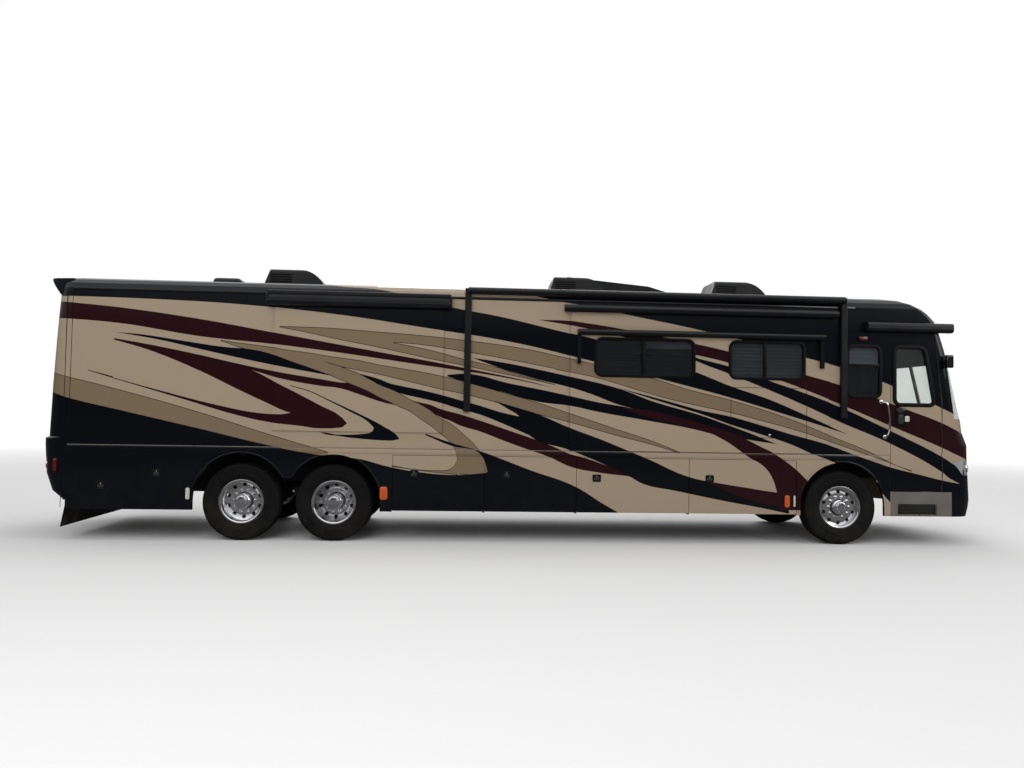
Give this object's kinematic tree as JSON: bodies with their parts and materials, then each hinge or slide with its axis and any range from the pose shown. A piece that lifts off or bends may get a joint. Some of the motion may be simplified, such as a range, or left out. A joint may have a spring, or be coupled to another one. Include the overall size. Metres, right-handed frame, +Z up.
{
  "type": "motorhome",
  "caption": "Long motorhome coach with a tag axle, steered front wheels, an entry door, storage doors, slide-out rooms, rolled awnings and swooping painted stripes.",
  "frame": {"origin": "on the road under the middle of the length and width", "axes": "+X forward, +Y to the left side, +Z up"},
  "size_m": [12.9999, 2.8504, 3.8098],
  "materials": {
    "paint": "gloss",
    "dark_paint": "gloss",
    "glass": "gloss",
    "headlamp": "gloss",
    "tail_lamp": "gloss",
    "tyre": "matte",
    "rim": "polished",
    "chassis": "satin",
    "steel": "satin",
    "floor": "matte",
    "trim": "satin",
    "awning": "satin",
    "roof_unit": "satin",
    "seat": "satin",
    "guard": "matte"
  },
  "bodies": {
    "coach": {"awnings": "awning", "cab_seats": "seat", "chassis_frame": "chassis", "dashboard": "trim", "drive_axle": "chassis", "engine": "chassis", "entry_steps": "floor", "floor": "floor", "front_axle": "chassis", "front_bumper": "paint", "front_cap": "paint", "headlamps": "headlamp", "lower_panels_left": "paint", "lower_panels_right": "paint", "mirrors": "trim", "rear_bumper": "paint", "rear_cap": "paint", "rear_grille": "trim", "rear_guard": "guard", "roof": "paint", "roof_equipment": "roof_unit", "side_glass": "glass", "side_wall_left": "paint", "side_wall_right": "paint", "steering_wheel": "trim", "step_skirt": "steel", "storage_tray": "floor", "tag_axle": "chassis", "tail_lamps": "tail_lamp", "windscreen": "glass"},
    "steer_right": {"knuckle_right": "chassis"},
    "wheel_front_right": {"tyre_front_right": "tyre", "rim_front_right": "rim"},
    "wheel_drive_right": {"tyre_drive_right": "tyre", "rim_drive_right": "rim"},
    "wheel_tag_right": {"tyre_tag_right": "tyre", "rim_tag_right": "rim"},
    "storage_right_1": {"storage_door_right_1": "paint"},
    "storage_right_2": {"storage_door_right_2": "paint"},
    "storage_right_3": {"storage_door_right_3": "paint"},
    "storage_right_4": {"storage_door_right_4": "paint"},
    "steer_left": {"knuckle_left": "chassis"},
    "wheel_front_left": {"tyre_front_left": "tyre", "rim_front_left": "rim"},
    "wheel_drive_left": {"tyre_drive_left": "tyre", "rim_drive_left": "rim"},
    "wheel_tag_left": {"tyre_tag_left": "tyre", "rim_tag_left": "rim"},
    "storage_left_1": {"storage_door_left_1": "paint"},
    "storage_left_2": {"storage_door_left_2": "paint"},
    "storage_left_3": {"storage_door_left_3": "paint"},
    "storage_left_4": {"storage_door_left_4": "paint"},
    "entry": {"entry_door": "paint", "entry_door_glass": "glass"},
    "room_right_rear": {"slide_right_rear": "paint"},
    "room_right_front": {"slide_right_front": "paint", "slide_glass_right": "glass"},
    "room_left": {"slide_left": "paint", "slide_glass_left": "glass"}
  },
  "joints": [
    {"name": "steer_right_turn", "type": "hinge", "parent": "coach", "child": "steer_right", "pos_m": [4.4, -0.99, 0.515], "axis": [0, 0, 1], "range_deg": [-45, 45]},
    {"name": "wheel_front_right_spin", "type": "hinge", "parent": "steer_right", "child": "wheel_front_right", "pos_m": [4.4, -1.1, 0.515], "axis": [0, 1, 0], "continuous": true},
    {"name": "wheel_drive_right_spin", "type": "hinge", "parent": "coach", "child": "wheel_drive_right", "pos_m": [-2.6, -1.1, 0.515], "axis": [0, 1, 0], "continuous": true},
    {"name": "wheel_tag_right_spin", "type": "hinge", "parent": "coach", "child": "wheel_tag_right", "pos_m": [-3.82, -1.1, 0.515], "axis": [0, 1, 0], "continuous": true},
    {"name": "storage_right_1_swing", "type": "hinge", "parent": "coach", "child": "storage_right_1", "pos_m": [-0.5855, -1.289, 0.79], "axis": [0, 0, 1], "range_deg": [0, 90]},
    {"name": "storage_right_2_swing", "type": "hinge", "parent": "coach", "child": "storage_right_2", "pos_m": [0.6645, -1.289, 0.79], "axis": [0, 0, 1], "range_deg": [0, 90]},
    {"name": "storage_right_3_swing", "type": "hinge", "parent": "coach", "child": "storage_right_3", "pos_m": [2.2245, -1.289, 0.79], "axis": [0, 0, 1], "range_deg": [0, 90]},
    {"name": "storage_right_4_swing", "type": "hinge", "parent": "coach", "child": "storage_right_4", "pos_m": [3.7345, -1.289, 0.79], "axis": [0, 0, 1], "range_deg": [0, 90]},
    {"name": "steer_left_turn", "type": "hinge", "parent": "coach", "child": "steer_left", "pos_m": [4.4, 0.99, 0.515], "axis": [0, 0, 1], "range_deg": [-45, 45]},
    {"name": "wheel_front_left_spin", "type": "hinge", "parent": "steer_left", "child": "wheel_front_left", "pos_m": [4.4, 1.1, 0.515], "axis": [0, 1, 0], "continuous": true},
    {"name": "wheel_drive_left_spin", "type": "hinge", "parent": "coach", "child": "wheel_drive_left", "pos_m": [-2.6, 1.1, 0.515], "axis": [0, 1, 0], "continuous": true},
    {"name": "wheel_tag_left_spin", "type": "hinge", "parent": "coach", "child": "wheel_tag_left", "pos_m": [-3.82, 1.1, 0.515], "axis": [0, 1, 0], "continuous": true},
    {"name": "storage_left_1_swing", "type": "hinge", "parent": "coach", "child": "storage_left_1", "pos_m": [-0.5855, 1.289, 0.79], "axis": [0, 0, -1], "range_deg": [0, 90]},
    {"name": "storage_left_2_swing", "type": "hinge", "parent": "coach", "child": "storage_left_2", "pos_m": [0.6645, 1.289, 0.79], "axis": [0, 0, -1], "range_deg": [0, 90]},
    {"name": "storage_left_3_swing", "type": "hinge", "parent": "coach", "child": "storage_left_3", "pos_m": [2.2245, 1.289, 0.79], "axis": [0, 0, -1], "range_deg": [0, 90]},
    {"name": "storage_left_4_swing", "type": "hinge", "parent": "coach", "child": "storage_left_4", "pos_m": [3.7345, 1.289, 0.79], "axis": [0, 0, -1], "range_deg": [0, 90]},
    {"name": "entry_swing", "type": "hinge", "parent": "coach", "child": "entry", "pos_m": [5.838, -1.288, 1.35], "axis": [0, 0, 1], "range_deg": [0, 90]},
    {"name": "room_right_rear_slide", "type": "slide", "parent": "coach", "child": "room_right_rear", "axis": [0, -1, 0], "range_m": [0, 0.6]},
    {"name": "room_right_front_slide", "type": "slide", "parent": "coach", "child": "room_right_front", "axis": [0, -1, 0], "range_m": [0, 0.6]},
    {"name": "room_left_slide", "type": "slide", "parent": "coach", "child": "room_left", "axis": [0, 1, 0], "range_m": [0, 0.6]}
  ],
  "couplings": [
    {"joint": "steer_left_turn", "follows": "steer_right_turn", "ratio": 1}
  ]
}
